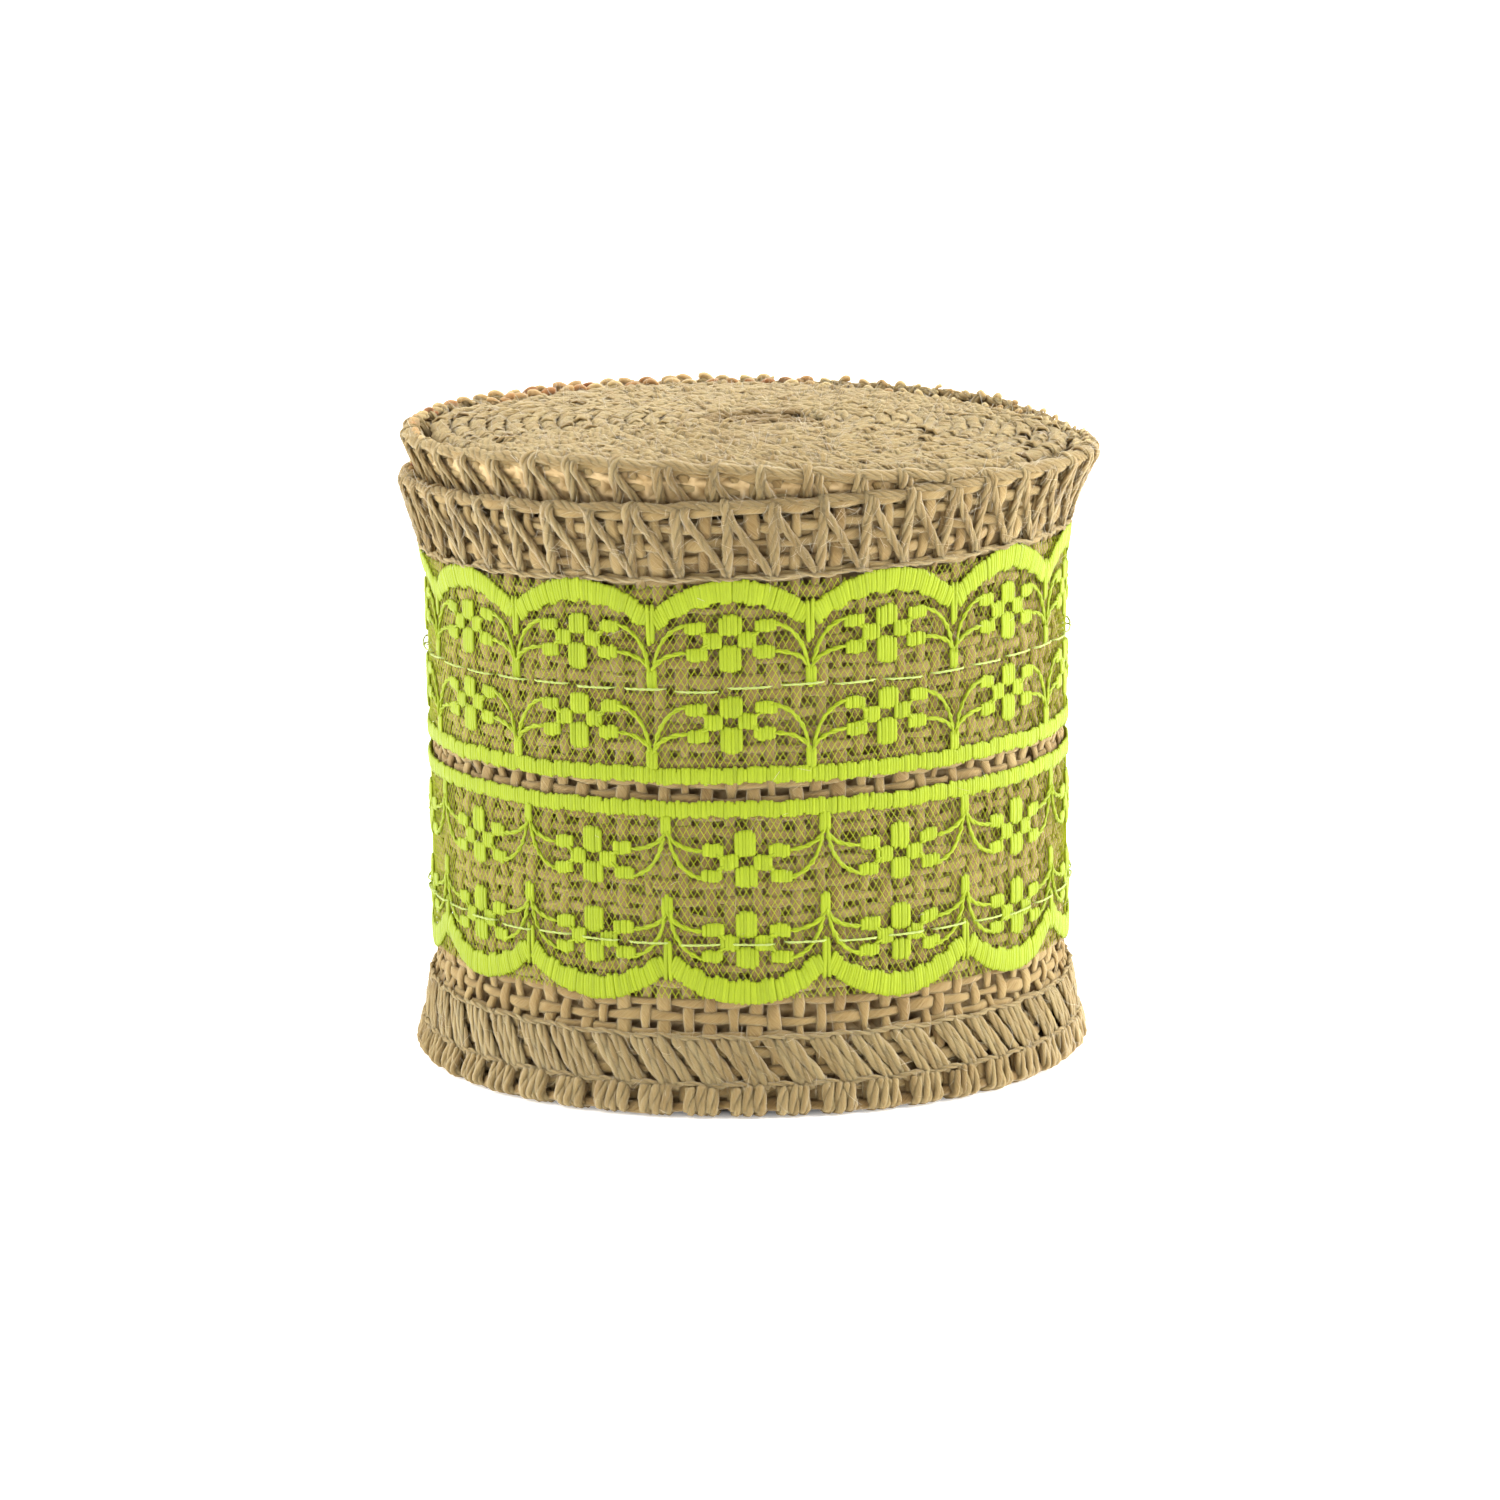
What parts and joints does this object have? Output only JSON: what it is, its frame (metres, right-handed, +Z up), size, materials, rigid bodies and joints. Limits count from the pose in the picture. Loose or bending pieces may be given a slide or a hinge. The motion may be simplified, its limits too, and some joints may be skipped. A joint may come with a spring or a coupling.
{
  "type": "lace-trimmed jute ribbon roll",
  "caption": "Coreless standing roll of woven jute ribbon with overlocked edges and two scalloped lace strips; the loose tail peels open.",
  "frame": {"origin": "middle of the bounding rectangle of the base, on the surface that the roll stands on", "axes": "+Z up along the winding axis, -Y towards the front; the free end lies behind, at the left of the back"},
  "size_m": [0.0672, 0.0672, 0.0631],
  "materials": {
    "jute_cloth": "plain-woven natural jute, rough and slubby",
    "jute_yarn": "soft natural jute yarn",
    "lime_lace": "lime-green knitted lace, slight sheen",
    "pale_thread": "pale yellow-green sewing thread"
  },
  "bodies": {
    "roll": {"jute_cloth_roll": "jute_cloth", "upper_overlock_roll": "jute_yarn", "lower_overlock_roll": "jute_yarn", "upper_lace_roll": "lime_lace", "lower_lace_roll": "lime_lace", "upper_lace_stitching_roll": "pale_thread", "lower_lace_stitching_roll": "pale_thread"},
    "tail_root": {"jute_cloth_tail_1": "jute_cloth", "upper_overlock_tail_1": "jute_yarn", "lower_overlock_tail_1": "jute_yarn", "upper_lace_tail_1": "lime_lace", "lower_lace_tail_1": "lime_lace", "upper_lace_stitching_tail_1": "pale_thread", "lower_lace_stitching_tail_1": "pale_thread"},
    "tail_middle": {"jute_cloth_tail_2": "jute_cloth", "upper_overlock_tail_2": "jute_yarn", "lower_overlock_tail_2": "jute_yarn", "upper_lace_tail_2": "lime_lace", "lower_lace_tail_2": "lime_lace", "upper_lace_stitching_tail_2": "pale_thread", "lower_lace_stitching_tail_2": "pale_thread"},
    "tail_end": {"jute_cloth_tail_3": "jute_cloth", "upper_overlock_tail_3": "jute_yarn", "lower_overlock_tail_3": "jute_yarn", "upper_lace_tail_3": "lime_lace", "lower_lace_tail_3": "lime_lace", "upper_lace_stitching_tail_3": "pale_thread", "lower_lace_stitching_tail_3": "pale_thread"}
  },
  "joints": [
    {"name": "tail_peel", "type": "hinge", "parent": "roll", "child": "tail_root", "pos_m": [-0.03119, 0.00917, 0.03], "axis": [0, 0, 1], "range_deg": [0, 50], "stiffness_Nm_per_rad": 0.001},
    {"name": "tail_middle_bend", "type": "hinge", "parent": "tail_root", "child": "tail_middle", "pos_m": [-0.02283, 0.02391, 0.03], "axis": [0, 0, 1], "range_deg": [0, 28]},
    {"name": "tail_end_bend", "type": "hinge", "parent": "tail_middle", "child": "tail_end", "pos_m": [-0.00816, 0.03252, 0.03], "axis": [0, 0, 1], "range_deg": [0, 28]}
  ],
  "couplings": [
    {"joint": "tail_middle_bend", "follows": "tail_peel", "ratio": 0.56},
    {"joint": "tail_end_bend", "follows": "tail_peel", "ratio": 0.56}
  ]
}
